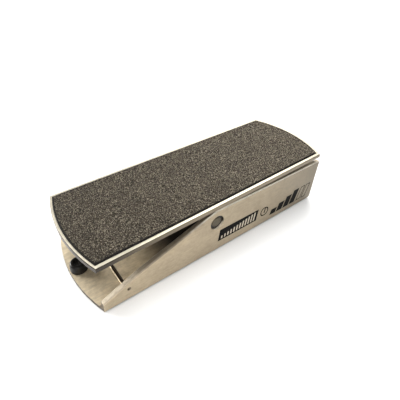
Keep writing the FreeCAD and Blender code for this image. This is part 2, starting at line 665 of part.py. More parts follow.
def pivot_bracket(side):
    outer = EAR_X[1]
    half_flange, flange_thickness = EAR_FLANGE
    flange = box(EAR_X, (PIVOT_Y - half_flange, PIVOT_Y + half_flange),
                 (treadle_under - flange_thickness, treadle_under))
    ear = box((outer - EAR_THICKNESS, outer), (PIVOT_Y - EAR_HALF_LENGTH, PIVOT_Y + EAR_HALF_LENGTH),
              (PIVOT_Z, treadle_under))
    boss = rod(EAR_HALF_LENGTH, (outer - BOSS_LENGTH, PIVOT_Y, PIVOT_Z), (outer, PIVOT_Y, PIVOT_Z))
    bracket = flange.fuse([ear, boss])
    cuts = [
        rod(AXLE_RADIUS + CLOSE_FIT, (0, PIVOT_Y, PIVOT_Z), (half_width, PIVOT_Y, PIVOT_Z)),
        rod(M3 + HOLE_GAP, (outer - 5.5, PIVOT_Y, PIVOT_Z), (outer - 5.5, PIVOT_Y - 12, PIVOT_Z)),
    ]
    for t in (-1, 1):
        cuts.append(rod(M3 + HOLE_GAP, (20.0, PIVOT_Y + t * 8, 30), (20.0, PIVOT_Y + t * 8, 60)))
    bracket = bracket.cut(cuts).removeSplitter()
    if side < 0:
        bracket = bracket.mirror(Vector(0, 0, 0), Vector(1, 0, 0))
    return tipped(bracket)


def bracket_screws():
    flange_thickness = EAR_FLANGE[1]
    return tipped(group([screw_up(x, y, treadle_under - flange_thickness, flange_thickness + SHEET_HOLD)
                         for x, y in ear_screw_places]))


def pivot_axle():
    end = half_width - AXLE_RECESS
    axle = rod(AXLE_RADIUS, (-end, PIVOT_Y, PIVOT_Z), (end, PIVOT_Y, PIVOT_Z))
    rims = [e for e in axle.Edges if e.Closed and e.BoundBox.XLength < 0.01]
    return axle.makeChamfer(0.5, rims)


def axle_set_screws():
    screws = []
    for side in (-1, 1):
        x = side * (EAR_X[1] - 5.5)
        screws.append(rod(M3, (x, PIVOT_Y - AXLE_RADIUS - 0.1, PIVOT_Z), (x, PIVOT_Y - 8.6, PIVOT_Z)))
    return tipped(group(screws))


def thrust_washers():
    washers = []
    for side in (-1, 1):
        face = inner_x - BUSH_FLANGE - RUNNING_GAP
        ends = [(side * (face - WASHER_THICKNESS), PIVOT_Y, PIVOT_Z), (side * face, PIVOT_Y, PIVOT_Z)]
        washers.append(tube(WASHER_RADIUS, AXLE_RADIUS + RUNNING_GAP, *ends))
    return group(washers)


def string_bow():
    spine = box(BOW_X, SPINE_Y, (BOW_LOW[0], treadle_under))
    top_arm = box(BOW_X, (SPINE_Y[0], BOW_TIP_Y), BOW_TOP)
    low_arm = box(BOW_X, (SPINE_Y[0], BOW_TIP_Y), BOW_LOW)
    tab = box((BOW_TAB_X, BOW_X[1]), (BOW_TAB_Y, SPINE_Y[1]), (treadle_under - BOW_SHEET, treadle_under))
    pins = [rod(PIN_RADIUS, (BOW_X[0] + 1, PIN_Y, z), (STRING_X + 2, PIN_Y, z))
            for z in (TOP_PIN_Z, LOW_PIN_Z)]
    bow = spine.fuse([top_arm, low_arm, tab] + pins)
    holes = [rod(M3 + HOLE_GAP, (x, y, 40), (x, y, 60)) for x, y in bow_screw_places]
    return tipped(bow.cut(holes).removeSplitter())


def bow_screws():
    return tipped(group([screw_up(x, y, treadle_under - BOW_SHEET, BOW_SHEET + SHEET_HOLD)
                         for x, y in bow_screw_places]))


def spring_post():
    post = rod(M3, (STRING_X, POST_Y, LINE_Z - 1.6), (STRING_X, POST_Y, treadle_under + SHEET_HOLD))
    collar = rod(PAN_HEAD_RADIUS, (STRING_X, POST_Y, treadle_under - 1.2), (STRING_X, POST_Y, treadle_under))
    return tipped(post.fuse(collar))


def string_spring():
    """Outer shape of the small tension spring that keeps the string tight."""
    start = POST_Y + SPRING_RADIUS
    return tipped(rod(SPRING_RADIUS, (STRING_X, start, LINE_Z), (STRING_X, SPRING_END_Y, LINE_Z)))


def turned_point(y, z):
    angle = math.radians(REST_TILT)
    dy = y - PIVOT_Y
    dz = z - PIVOT_Z
    return (PIVOT_Y + dy * math.cos(angle) - dz * math.sin(angle),
            PIVOT_Z + dy * math.sin(angle) + dz * math.cos(angle))


def drive_string():
    """String from the spring over the top pin, one turn round the drum, and down to the low pin."""
    off = PIN_RADIUS + STRING_RADIUS + 0.02
    past_pin = PIN_Y + off
    bend = off * math.sqrt(0.5)
    line_end = Vector(STRING_X, PIN_Y, TOP_PIN_Z + off)
    bend_end = Vector(STRING_X, past_pin, TOP_PIN_Z)
    path = Part.Wire([
        Part.LineSegment(Vector(STRING_X, SPRING_END_Y, TOP_PIN_Z + off), line_end).toShape(),
        Part.Arc(line_end, Vector(STRING_X, PIN_Y + bend, TOP_PIN_Z + bend), bend_end).toShape(),
        Part.LineSegment(bend_end, bend_end - Vector(0, 0, 1)).toShape(),
    ])
    section = Part.Wire(Part.Circle(path.Vertexes[0].Point, Vector(0, 1, 0), STRING_RADIUS).toShape())
    over = tipped(path.makePipeShell([section], True, False))
    drum_y = POT_Y - DRUM_RADIUS - STRING_RADIUS - 0.05
    top_y, top_z = turned_point(past_pin, TOP_PIN_Z - 1.05)
    low_y, low_z = turned_point(PIN_Y, LOW_PIN_Z)
    upper = rod(STRING_RADIUS, (STRING_X, top_y, top_z), (STRING_X, drum_y, POT_Z + 0.05))
    lower = rod(STRING_RADIUS, (STRING_X, drum_y, POT_Z - 0.05), (STRING_X, low_y + off, low_z))
    turn = ring_about_x(POT_Y - drum_y, STRING_X - 0.9, POT_Y, POT_Z)
    knot = ring_about_x(off, STRING_X - 0.9, low_y, low_z)
    return group([over, upper, turn, lower, knot])


pieces = {
    "housing": housing(),
    "bottom_cover": bottom_cover(),
    "gap_seal": gap_seal(),
    "cover_screws": cover_screws(),
    "rubber_feet": rubber_feet(),
    "foot_screws": foot_screws(),
    "heel_bumper": heel_bumper(),
    "heel_bumper_screw": heel_bumper_screw(),
    "pivot_bush_left": pivot_bush(-1),
    "pivot_bush_right": pivot_bush(1),
    "toe_panel": toe_panel(),
    "panel_screws": panel_screws(),
    "bumper_bracket": bumper_bracket(),
    "bumper_bracket_screws": bumper_bracket_screws(),
    "toe_bumper": toe_bumper(),
    "jack_nuts": jack_nuts(),
    "jack_washers": jack_washers(),
    "pot_bracket": pot_bracket(),
    "pot_bracket_screws": pot_bracket_screws(),
    "pot_body": pot_body(),
    "pot_washer": pot_washer(),
    "pot_nut": pot_nut(),
    "pot_shaft": pot_shaft(),
    "string_drum": string_drum(),
    "drum_set_screw": drum_set_screw(),
    "board_standoffs": board_standoffs(),
    "circuit_board": circuit_board(),
    "board_screws": board_screws(),
    "taper_switch_body": taper_switch_body(),
    "taper_switch_slider": taper_switch_slider(),
    "wiring": wiring(),
    "treadle_plate": treadle_plate(),
    "grip_pad": grip_pad(),
    "pivot_bracket_left": pivot_bracket(-1),
    "pivot_bracket_right": pivot_bracket(1),
    "bracket_screws": bracket_screws(),
    "pivot_axle": pivot_axle(),
    "axle_set_screws": axle_set_screws(),
    "thrust_washers": thrust_washers(),
    "string_bow": string_bow(),
    "bow_screws": bow_screws(),
    "spring_post": spring_post(),
    "string_spring": string_spring(),
    "drive_string": drive_string(),
}
for jack_name, jack_x in JACK_X.items():
    pieces[jack_name] = jack(jack_x)

os.makedirs("parts", exist_ok=True)
for node, shape in pieces.items():
    shape.exportStep("parts/" + node + ".step")
    print(node, shape.isValid(), len(shape.Solids), round(shape.Volume, 1))
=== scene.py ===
import json
import math
import random

import bpy
from mathutils import Matrix, Vector


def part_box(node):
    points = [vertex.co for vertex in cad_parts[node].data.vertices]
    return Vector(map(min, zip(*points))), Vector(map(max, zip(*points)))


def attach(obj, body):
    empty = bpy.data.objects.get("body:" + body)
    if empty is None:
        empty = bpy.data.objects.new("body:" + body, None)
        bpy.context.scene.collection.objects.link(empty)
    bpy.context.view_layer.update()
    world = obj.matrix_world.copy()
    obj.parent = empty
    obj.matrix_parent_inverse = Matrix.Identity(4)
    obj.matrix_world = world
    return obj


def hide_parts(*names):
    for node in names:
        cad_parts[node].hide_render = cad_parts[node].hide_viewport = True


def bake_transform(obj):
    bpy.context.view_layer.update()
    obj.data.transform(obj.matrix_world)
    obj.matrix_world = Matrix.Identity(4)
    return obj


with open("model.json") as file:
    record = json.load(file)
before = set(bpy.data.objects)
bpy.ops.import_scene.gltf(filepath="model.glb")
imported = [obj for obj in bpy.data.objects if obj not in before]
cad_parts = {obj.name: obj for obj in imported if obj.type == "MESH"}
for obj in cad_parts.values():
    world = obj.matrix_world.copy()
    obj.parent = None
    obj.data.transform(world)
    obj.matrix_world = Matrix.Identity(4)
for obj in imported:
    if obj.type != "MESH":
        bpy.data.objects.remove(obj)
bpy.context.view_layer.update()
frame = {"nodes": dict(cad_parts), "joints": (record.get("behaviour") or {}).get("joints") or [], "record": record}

MM = 0.001
SEED = 7
SHARP_ANGLE = math.radians(35.0)
WHITE = (1.0, 1.0, 1.0)

rng = random.Random(SEED)
scene = bpy.context.scene
nodes = frame["nodes"]
joints = {joint["name"]: joint for joint in frame["joints"]}
_, housing_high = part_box("housing")


def even(value):
    """The same value three times: a grey, or a scale that is the same each way."""
    return (value, value, value)


def scaled(colour, factor):
    return tuple(min(1.0, c * factor) for c in colour)


# ---------------------------------------------------------------- mesh helpers

def mesh_object(name, verts, faces, smooth=True):
    """New object from points and faces, smooth except at sharp edges."""
    mesh = bpy.data.meshes.new(name)
    mesh.from_pydata([tuple(v) for v in verts], [], faces)
    mesh.validate()
    mesh.update()
    obj = bpy.data.objects.new(name, mesh)
    scene.collection.objects.link(obj)
    if smooth:
        mesh.shade_smooth()
        mesh.set_sharp_from_angle(angle=SHARP_ANGLE)
    return obj


def ring_pairs(count):
    """Each index round a closed ring, with the one after it."""
    return [(i, (i + 1) % count) for i in range(count)]


def lathe(name, centre, profile, segments=64):
    """Closed turned piece: profile is (radius, height) pairs from the bottom's middle to the top's middle."""
    centre = Vector(centre)
    verts = []
    faces = []
    rings = profile[1:-1]
    for radius, height in rings:
        for i in range(segments):
            angle = 2 * math.pi * i / segments
            verts.append(centre + Vector((radius * math.cos(angle), radius * math.sin(angle), height)))
    for ring in range(len(rings) - 1):
        low = ring * segments
        high = low + segments
        for i, j in ring_pairs(segments):
            faces.append((low + i, low + j, high + j, high + i))
    bottom = len(verts)
    top = bottom + 1
    verts.append(centre + Vector((0, 0, profile[0][1])))
    verts.append(centre + Vector((0, 0, profile[-1][1])))
    last = (len(rings) - 1) * segments
    for i, j in ring_pairs(segments):
        faces.append((bottom, j, i))
        faces.append((top, last + i, last + j))
    return mesh_object(name, verts, faces)


def arc_points(centre_r, centre_z, radius, start, end, count):
    """(radius, height) pairs along an arc, angles in degrees from the outward direction."""
    points = []
    for i in range(count + 1):
        angle = math.radians(start + (end - start) * i / count)
        points.append((centre_r + radius * math.cos(angle), centre_z + radius * math.sin(angle)))
    return points


def tube_along(name, points, radius, sides=12):
    """Round tube with flat ends along a list of points."""
    last = len(points) - 1
    verts = []
    faces = []
    side = None
    for i, point in enumerate(points):
        ahead = (points[min(i + 1, last)] - points[max(i - 1, 0)]).normalized()
        if side is None:
            helper = Vector((1, 0, 0)) if abs(ahead.x) < 0.9 else Vector((0, 0, 1))
            side = ahead.cross(helper).normalized()
        side = (side - ahead * side.dot(ahead)).normalized()
        other = ahead.cross(side)
        for k in range(sides):
            angle = 2 * math.pi * k / sides
            verts.append(point + (side * math.cos(angle) + other * math.sin(angle)) * radius)
    for i in range(last):
        low = i * sides
        high = low + sides
        for k, m in ring_pairs(sides):
            faces.append((low + k, low + m, high + m, high + k))
    faces.append(tuple(reversed(range(sides))))
    faces.append(tuple(range(last * sides, (last + 1) * sides)))
    return mesh_object(name, verts, faces)


def side_prism(name, outline, inner_x, outer_x):
    """Flat closed piece on the side wall, from its (y, z) outline."""
    count = len(outline)
    verts = [Vector((inner_x, y, z)) for y, z in outline] + [Vector((outer_x, y, z)) for y, z in outline]
    faces = [tuple(reversed(range(count))), tuple(range(count, 2 * count))]
    for i, j in ring_pairs(count):
        faces.append((i, j, count + j, count + i))
    return mesh_object(name, verts, faces, smooth=False)


def side_band(name, outer, inner, inner_x, outer_x):
    """Flat closed ring on the side wall between two (y, z) outlines of equal length."""
    count = len(outer)
    top = 2 * count
    verts = []
    for x in (inner_x, outer_x):
        verts += [Vector((x, y, z)) for y, z in outer]
        verts += [Vector((x, y, z)) for y, z in inner]
    faces = []
    for a, b in ring_pairs(count):
        c, d = count + b, count + a
        faces.append((a, d, c, b))
        faces.append((top + a, top + b, top + c, top + d))
        faces.append((a, b, top + b, top + a))
        faces.append((d, top + d, top + c, c))
    return mesh_object(name, verts, faces, smooth=False)


# ---------------------------------------------------------------- shader helpers

class Shader:
    """A node material under construction."""

    def __init__(self, name):
        self.material = bpy.data.materials.new(name)
        self.material.use_nodes = True
        self.tree = self.material.node_tree
        self.bsdf = self.tree.nodes["Principled BSDF"]
        places = self.tree.nodes.new("ShaderNodeTexCoord")
        self.coordinates = places.outputs["Object"]
        self.facing = places.outputs["Normal"]

    def add(self, kind, **settings):
        node = self.tree.nodes.new(kind)
        for key, value in settings.items():
            setattr(node, key, value)
        return node

    def link(self, output, socket):
        self.tree.links.new(output, socket)

    def split(self, vector):
        node = self.add("ShaderNodeSeparateXYZ")
        self.link(vector, node.inputs[0])
        return node.outputs["X"], node.outputs["Y"], node.outputs["Z"]

    def math(self, operation, source, value=0.0):
        node = self.add("ShaderNodeMath", operation=operation)
        self.link(source, node.inputs[0])
        node.inputs[1].default_value = value
        return node.outputs[0]

    def spread(self, source, low, high, from_low=0.0, from_high=1.0):
        """The source's stretch from from_low to from_high, laid out from low to high and cut off there."""
        node = self.add("ShaderNodeMapRange")
        node.inputs["From Min"].default_value = from_low
        node.inputs["From Max"].default_value = from_high
        node.inputs["To Min"].default_value = low
        node.inputs["To Max"].default_value = high
        self.link(source, node.inputs["Value"])
        return node.outputs["Result"]

    def facing_up(self, low, high):
        """Nought on faces whose normal rises less than low, and one where it rises more than high.

        The normal's rise is one on a level top, nought on an upright side and minus one underneath.
        With high below low it is the other way round, and picks the faces that look down.
        """
        return self.spread(self.split(self.facing)[2], 0.0, 1.0, low, high)

    def mapped(self, scale):
        """Object coordinates, in units of one over scale metres."""
        mapping = self.add("ShaderNodeMapping")
        mapping.inputs["Scale"].default_value = scale
        self.link(self.coordinates, mapping.inputs["Vector"])
        return mapping.outputs["Vector"]

    def noise(self, scale, detail=3.0, roughness=0.55, distortion=0.0):
        node = self.add("ShaderNodeTexNoise")
        node.inputs["Scale"].default_value = 1.0
        node.inputs["Detail"].default_value = detail
        node.inputs["Roughness"].default_value = roughness
        node.inputs["Distortion"].default_value = distortion
        self.link(self.mapped(scale), node.inputs["Vector"])
        return node.outputs["Fac"]

    def cells(self, scale):
        node = self.add("ShaderNodeTexVoronoi")
        node.inputs["Scale"].default_value = 1.0
        self.link(self.mapped(scale), node.inputs["Vector"])
        return node

    def ramp(self, source, stops):
        """Colour from a source that runs from nought to one: stops are (source, colour) pairs."""
        node = self.add("ShaderNodeValToRGB")
        elements = node.color_ramp.elements
        while len(elements) < len(stops):
            elements.new(0.5)
        for element, (place, colour) in zip(elements, stops):
            element.position = place
            element.color = (*colour, 1.0)
        self.link(source, node.inputs["Fac"])
        return node.outputs["Color"]

    def along(self, coordinate, stops):
        """Colour that changes along a coordinate: stops are (place in metres, colour) pairs."""
        first = stops[0][0]
        last = stops[-1][0]
        placed = [((place - first) / (last - first), colour) for place, colour in stops]
        return self.ramp(self.spread(coordinate, 0.0, 1.0, first, last), placed)

    def mix(self, factor, a, b, blend="MIX"):
        node = self.add("ShaderNodeMix", data_type="RGBA", blend_type=blend)
        if isinstance(factor, float):
            node.inputs[0].default_value = factor
        else:
            self.link(factor, node.inputs[0])
        for socket, value in ((node.inputs[6], a), (node.inputs[7], b)):
            if isinstance(value, tuple):
                socket.default_value = (*value, 1.0)
            else:
                self.link(value, socket)
        return node.outputs[2]

    def shade(self, colour, by, strength=1.0):
        """The colour multiplied by another, wholly or in part."""
        return self.mix(strength, colour, by, "MULTIPLY")

    def bump(self, source, strength, distance, after=None):
        node = self.add("ShaderNodeBump")
        node.inputs["Strength"].default_value = strength
        node.inputs["Distance"].default_value = distance
        self.link(source, node.inputs["Height"])
        if after is not None:
            self.link(after, node.inputs["Normal"])
        return node.outputs["Normal"]

    def finish(self, colour, roughness=None, normal=None, **sockets):
        self.link(colour, self.bsdf.inputs["Base Color"])
        if roughness is not None:
            self.link(roughness, self.bsdf.inputs["Roughness"])
        if normal is not None:
            self.link(normal, self.bsdf.inputs["Normal"])
        for name, value in sockets.items():
            self.bsdf.inputs[name.replace("_", " ")].default_value = value
        return self.material


# ---------------------------------------------------------------- metals

BARE_ALUMINIUM = (0.42, 0.35, 0.25)
# darker tone of the wall tops, a painted shade
SHADED_TOP_ALUMINIUM = (0.25, 0.212, 0.16)
ZINC_PLATE = (0.52, 0.47, 0.38)

# The housing's faces, measured inwards from its sides and heelwards from its toe end.
# Each place is a little past the real face, so that the face falls on the right side of it.
WALL_INSIDE = 4.75 * MM
BEVEL_INSIDE = 0.92 * MM
WALL_OUTSIDE = 0.04 * MM
TOE_END = 1.0 * MM
WALL_LENGTH = 233.2 * MM
HEEL_EDGE_Y = -114.0 * MM    # edge faces heelwards of here are the walls' heel ends, the rest are bores


def satin_metal(name, colour, metallic, rough, grain=(700.0, 60.0), variation=0.10, mottle=28.0, wear=1.0):
    """Milled or tumbled metal: fine grain from heel to toe, blotches, stains and rubbed patches.

    colour is one colour, or a function of the shader that gives a colour which isn't the same all over.
    grain and mottle are counts to the metre, of grain lines across and along and of cloudy patches,
    and wear says how strong the blotches, stains and rubbed patches are.
    """
    s = Shader(name)
    across, along = grain
    fine = s.noise((across, along, across), detail=4.0, roughness=0.65)
    cloud = s.noise(even(mottle), detail=4.0, roughness=0.6, distortion=0.6)
    blotch = s.noise((mottle * 13, mottle * 10, mottle * 13), detail=4.0, roughness=0.7)
    smudge = s.noise((mottle * 4, mottle * 2.5, mottle * 4), detail=5.0, distortion=0.8)
    tone = colour(s) if callable(colour) else colour
    base = s.shade(tone, s.ramp(cloud, [(0.3, even(1 - variation)), (0.7, WHITE)]))
    grained = s.shade(base, s.ramp(fine, [(0.3, even(0.6)), (0.7, WHITE)]), 0.5)
    blotched = s.shade(grained, s.ramp(blotch, [(0.34, (0.66, 0.64, 0.61)), (0.6, WHITE)]), 0.8 * wear)
    stained = s.shade(blotched, (0.72, 0.71, 0.69), s.spread(smudge, 0.0, 0.8 * wear, 0.56, 0.72))
    rubbed = s.shade(stained, (1.2, 1.19, 1.17), s.spread(smudge, 0.8 * wear, 0.0, 0.28, 0.44))
    roughness = s.spread(s.mix(0.5, fine, blotch), rough - 0.12, rough + 0.14, 0.3, 0.7)
    normal = s.bump(blotch, 0.10, 0.1 * MM, s.bump(fine, 0.12, 0.06 * MM))
    return s.finish(rubbed, roughness, normal, Metallic=metallic)


def treadle_lit_and_shaded_tint(s):
    """Top rim lighter than the sides as a painted highlight, and sides darkened as painted shade, darkest at the
    heel.
    """
    _, y, _ = s.split(s.coordinates)
    # painted shade: the sides are dark, darkest at the heel
    sides = s.along(y, [(-110 * MM, (0.034, 0.026, 0.018)), (-30 * MM, (0.25, 0.206, 0.144))])
    # painted highlight: the top rim is lighter than the sides, a little more so at the heel
    rim = s.along(y, [(-120 * MM, (0.62, 0.58, 0.475)), (0.0, (0.53, 0.49, 0.385))])
    return s.mix(s.facing_up(0.75, 0.92), sides, rim)


def channel_lit_and_shaded_tint(s):
    """Housing, with light and shade painted into its colour: outer faces darkened toward the toe as painted shade,
    top edges lightened toward both ends as painted light with a painted highlight on the bevel, an inside painted
    bright near the heel and dark as shade further in, painted shade on the walls' heel ends, the bores and the
    skirt round the heel floor, and a plain toe end and underside."""
    x, y, _ = s.split(s.coordinates)
    upward = s.facing_up(0.2, 0.5)
    toe_end = s.math("GREATER_THAN", y, housing_high.y - TOE_END)

    # painted shade: the outer faces darken toward the toe
    outer = s.along(y, [
        (-100 * MM, (0.515, 0.425, 0.295)),
        (-37 * MM, (0.465, 0.383, 0.267)),
        (36.5 * MM, (0.44, 0.364, 0.253)),
        (110 * MM, (0.235, 0.196, 0.138)),
    ])
    # painted light and shade: the top edges are lighter at both ends than in the middle
    top = s.along(y, [
        (-112 * MM, (0.36, 0.315, 0.245)),
        (-78.4 * MM, SHADED_TOP_ALUMINIUM),
        (-22.4 * MM, SHADED_TOP_ALUMINIUM),
        (0.0, (0.50, 0.43, 0.33)),
    ])
    # painted light and shade: the inside is bright near the heel and dark as shade further in
    inside = s.along(y, [
        (-100 * MM, (0.86, 0.74, 0.54)),
        (-76 * MM, (0.80, 0.68, 0.48)),
        (-56 * MM, (0.26, 0.215, 0.15)),
        (-40 * MM, (0.03, 0.025, 0.018)),
    ])
    # painted highlight along the bevel of the straight part of the wall tops
    bevel_painted_highlight = s.along(y, [(-50 * MM, SHADED_TOP_ALUMINIUM), (-10 * MM, (1.0, 0.93, 0.80))])
    # painted shade on the walls' heel ends, the bores and the skirt round the heel floor
    heel_end_painted_shade = (0.16, 0.13, 0.095)
    bore_painted_shade = (0.035, 0.028, 0.020)
    skirt_painted_shade = (0.085, 0.065, 0.045)

    past_heel_end = s.math("GREATER_THAN", y, HEEL_EDGE_Y)
    end_or_bore = s.mix(toe_end, s.mix(past_heel_end, heel_end_painted_shade, bore_painted_shade), BARE_ALUMINIUM)
    edge = s.mix(upward, end_or_bore, top)
    bevel = s.mix(upward, edge, bevel_painted_highlight)
    zones = s.mix(toe_end, inside, BARE_ALUMINIUM)
    distance = s.math("ABSOLUTE", x)
    for depth, colour in ((WALL_INSIDE, edge), (BEVEL_INSIDE, bevel), (WALL_OUTSIDE, outer)):
        zones = s.mix(s.math("GREATER_THAN", distance, housing_high.x - depth), zones, colour)
    past_walls = s.math("LESS_THAN", y, housing_high.y - WALL_LENGTH)
    zones = s.mix(past_walls, zones, s.mix(upward, skirt_painted_shade, zones))
    return s.mix(s.facing_up(-0.3, -0.6), zones, BARE_ALUMINIUM)


def cover_tint(s):
    """Bottom cover: its inside face takes the channel's painted light and shade, its underside is plain plated
    sheet.
    """
    return s.mix(s.facing_up(0.4, 0.6), ZINC_PLATE, channel_lit_and_shaded_tint(s))


# ---------------------------------------------------------------- other materials

def moulded(name, colour, rough, grain=2600.0, variation=0.2, dust=0.05, gloss=0.35):
    """Moulded plastic or rubber with a fine texture and faint dust."""
    s = Shader(name)
    fine = s.noise(even(grain), detail=2.0)
    cloud = s.noise(even(90.0), detail=4.0, distortion=0.5)
    base = s.ramp(cloud, [(0.3, scaled(colour, 1 - variation)), (0.75, scaled(colour, 1 + variation))])
    dusty = s.mix(s.spread(fine, 0.0, dust, 0.55, 0.8), base, (0.30, 0.28, 0.25))
    roughness = s.spread(cloud, rough - 0.08, rough + 0.10)
    return s.finish(dusty, roughness, s.bump(fine, 0.12, 0.1 * MM), Specular_IOR_Level=gloss)


def grit_material():
    """Mineral grit bonded to a dark sheet: dark pits, brown-grey grains and scattered pale sparkles."""
    s = Shader("grit_sheet")
    grains = s.cells(even(1500.0))
    tone = s.noise(even(1400.0), detail=2.0, roughness=0.7)
    cloud = s.noise(even(24.0), detail=3.0)
    body = s.ramp(tone, [
        (0.42, (0.002, 0.0015, 0.001)),
        (0.50, (0.020, 0.016, 0.0108)),
        (0.57, (0.095, 0.078, 0.056)),
        (0.65, (0.43, 0.38, 0.29)),
    ])
    random_tone = s.add("ShaderNodeSeparateColor")
    s.link(grains.outputs["Color"], random_tone.inputs["Color"])
    sparkle = s.spread(random_tone.outputs["Red"], 0.0, 0.8, 0.88, 0.97)
    speckled = s.mix(sparkle, body, (0.38, 0.33, 0.255))
    toned = s.mix(s.spread(cloud, 0.0, 0.2, 0.35, 0.7), speckled, (0.06, 0.048, 0.033))
    pits = s.ramp(grains.outputs["Distance"], [(0.0, WHITE), (0.75, (0.35, 0.34, 0.33))])
    _, y, _ = s.split(s.coordinates)
    # painted shade: the sheet darkens toward the heel
    painted_heel_shade = s.along(y, [(-120 * MM, even(0.66)), (-43 * MM, even(0.78)), (100 * MM, even(0.96))])
    heel_shaded = s.shade(s.shade(toned, pits, 0.75), painted_heel_shade)
    roughness = s.spread(random_tone.outputs["Green"], 0.55, 0.95)
    normal = s.bump(tone, 0.5, 0.2 * MM, s.bump(grains.outputs["Distance"], 0.6, 0.2 * MM))
    return s.finish(heel_shaded, roughness, normal, Specular_IOR_Level=0.14)


def board_material():
    """Green solder mask with paler tracks."""
    s = Shader("solder_mask")
    tracks = s.add("ShaderNodeTexBrick")
    tracks.inputs["Scale"].default_value = 1.0
    tracks.inputs["Mortar Size"].default_value = 0.09
    tracks.inputs["Color1"].default_value = (0.008, 0.075, 0.035, 1.0)
    tracks.inputs["Color2"].default_value = (0.010, 0.095, 0.045, 1.0)
    tracks.inputs["Mortar"].default_value = (0.03, 0.20, 0.09, 1.0)
    s.link(s.mapped((220.0, 400.0, 220.0)), tracks.inputs["Vector"])
    cloud = s.noise(even(300.0))
    normal = s.bump(tracks.outputs["Fac"], 0.3, 0.05 * MM)
    return s.finish(tracks.outputs["Color"], s.spread(cloud, 0.3, 0.5), normal)


def braid_material():
    """Waxed braided cord."""
    s = Shader("waxed_cord")
    weave = s.cells((5200.0, 5200.0, 3600.0)).outputs["Distance"]
    colour = s.ramp(weave, [(0.1, (0.62, 0.57, 0.46)), (0.8, (0.28, 0.24, 0.17))])
    return s.finish(colour, s.spread(weave, 0.5, 0.75), s.bump(weave, 0.5, 0.1 * MM))


def ink_material(name, colour):
    """Screen-printed ink: nearly even, with slight wear and a faint texture."""
    s = Shader(name)
    wear = s.noise(even(600.0), detail=5.0, roughness=0.7)
    cloud = s.noise(even(120.0), detail=3.0)
    base = s.ramp(cloud, [(0.3, scaled(colour, 0.85)), (0.7, scaled(colour, 1.2))])
    worn = s.mix(s.spread(wear, 0.0, 0.05, 0.66, 0.8), base, (0.16, 0.14, 0.11))
    normal = s.bump(wear, 0.08, 0.05 * MM)
    return s.finish(worn, s.spread(cloud, 0.5, 0.65), normal, Specular_IOR_Level=0.04)


# ---------------------------------------------------------------- which piece has which finish

finishes = {
    "satin_aluminium": satin_metal("satin_aluminium_with_painted_light", channel_lit_and_shaded_tint, 0.6, 0.42, wear=0.6),
    "treadle_aluminium": satin_metal("treadle_aluminium_with_painted_light", treadle_lit_and_shaded_tint, 0.55, 0.38, variation=0.05,
                                     wear=0.35),
    "grit": grit_material(),
    "rubber": moulded("black_rubber", (0.006, 0.0055, 0.005), 0.28, dust=0.02, gloss=0.14),
    "nylon": moulded("black_nylon", (0.020, 0.018, 0.016), 0.4, grain=1800.0),
    "steel": satin_metal("turned_steel", (0.42, 0.38, 0.32), 0.9, 0.36, grain=(1200.0, 300.0)),
    "black_steel": satin_metal("blackened_steel", (0.022, 0.020, 0.018), 0.5, 0.4),
    "zinc_sheet": satin_metal("zinc_plated_sheet", ZINC_PLATE, 0.8, 0.42, grain=(500.0, 60.0), mottle=45.0),
    "nickel": satin_metal("bright_nickel", (0.66, 0.63, 0.57), 1.0, 0.22, grain=(900.0, 900.0),
                          variation=0.05),
    "black_plastic": moulded("black_moulding", (0.015, 0.015, 0.017), 0.4),
    "brass": satin_metal("turned_brass", (0.62, 0.44, 0.18), 0.95, 0.28, grain=(1400.0, 1400.0)),
    "board": board_material(),
    "string": braid_material(),
    "lead_insulation": moulded("red_insulation", (0.32, 0.02, 0.015), 0.4, variation=0.12),
}
special_finishes = {
    "toe_panel": satin_metal("toe_panel_finish", BARE_ALUMINIUM, 0.6, 0.42, wear=0.6),
    "pivot_axle": satin_metal("axle_end_finish", (0.13, 0.112, 0.078), 0.7, 0.5, grain=(900.0, 900.0)),
    "bottom_cover": satin_metal("bottom_cover_with_painted_light", cover_tint, 0.6, 0.42, wear=0.6),
    # painted shade: the strip in the floor's groove is dark to stand for the shade in the groove
    "gap_seal": moulded("groove_painted_shade_strip", (0.055, 0.036, 0.024), 0.6),
}
sheet_edge = moulded("sheet_edge", (0.004, 0.0032, 0.0025), 0.7, dust=0.02, gloss=0.1)
black_ink = ink_material("black_ink", (0.004, 0.004, 0.004))
pale_ink = ink_material("pale_ink", (0.46, 0.41, 0.33))

for entry in frame["record"]["subparts"]:
    node = nodes[entry["node"]]
    finish = special_finishes.get(entry["node"]) or finishes[entry["material_slot"]]
    if not node.material_slots:
        node.data.materials.append(finish)
    for material_slot in node.material_slots:
        material_slot.material = finish


def add_piece(obj, body, slot_name, *replaced, material=None):
    """Give a new piece its finish, let it ride on a body and stand for CAD nodes."""
    obj.data.materials.append(material or finishes[slot_name])
    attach(obj, body)
    if replaced:
        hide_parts(*replaced)


# ---------------------------------------------------------------- grip sheet

CELL = 0.78 * MM             # spacing of the grains
GRAIN = 0.42 * MM            # height of the tallest grain
FLATNESS = 1.8               # the higher, the fewer grains are tall
JITTER = 0.3                 # how far a grain strays from its place, in cells
EDGE_DROP = 0.25 * MM        # the sheet's edge lies this far below the grains' feet
BORDER = 2                   # width of the bare dark edge, in cells


def sheet_axes(node):
    """A sheet's normal, its heel-to-toe direction, and how low and high it reaches along the normal."""
    mesh = nodes[node].data
    face = max((p for p in mesh.polygons if p.normal.z > 0.9), key=lambda p: p.area)
    normal = face.normal.copy()
    normal.x = 0.0
    normal.normalize()
    along = normal.cross(Vector((1, 0, 0)))
    heights = [v.co.dot(normal) for v in mesh.vertices]
    return normal, along, min(heights), max(heights)


def bowed_end(x, half, corner, apex):
    """Place along the sheet of a bowed end at x: an arc through both corners and the apex."""
    sag = abs(apex - corner)
    radius = (half * half + sag * sag) / (2 * sag)
    drop = math.sqrt(radius * radius - x * x) - (radius - sag)
    return corner + math.copysign(drop, apex - corner)


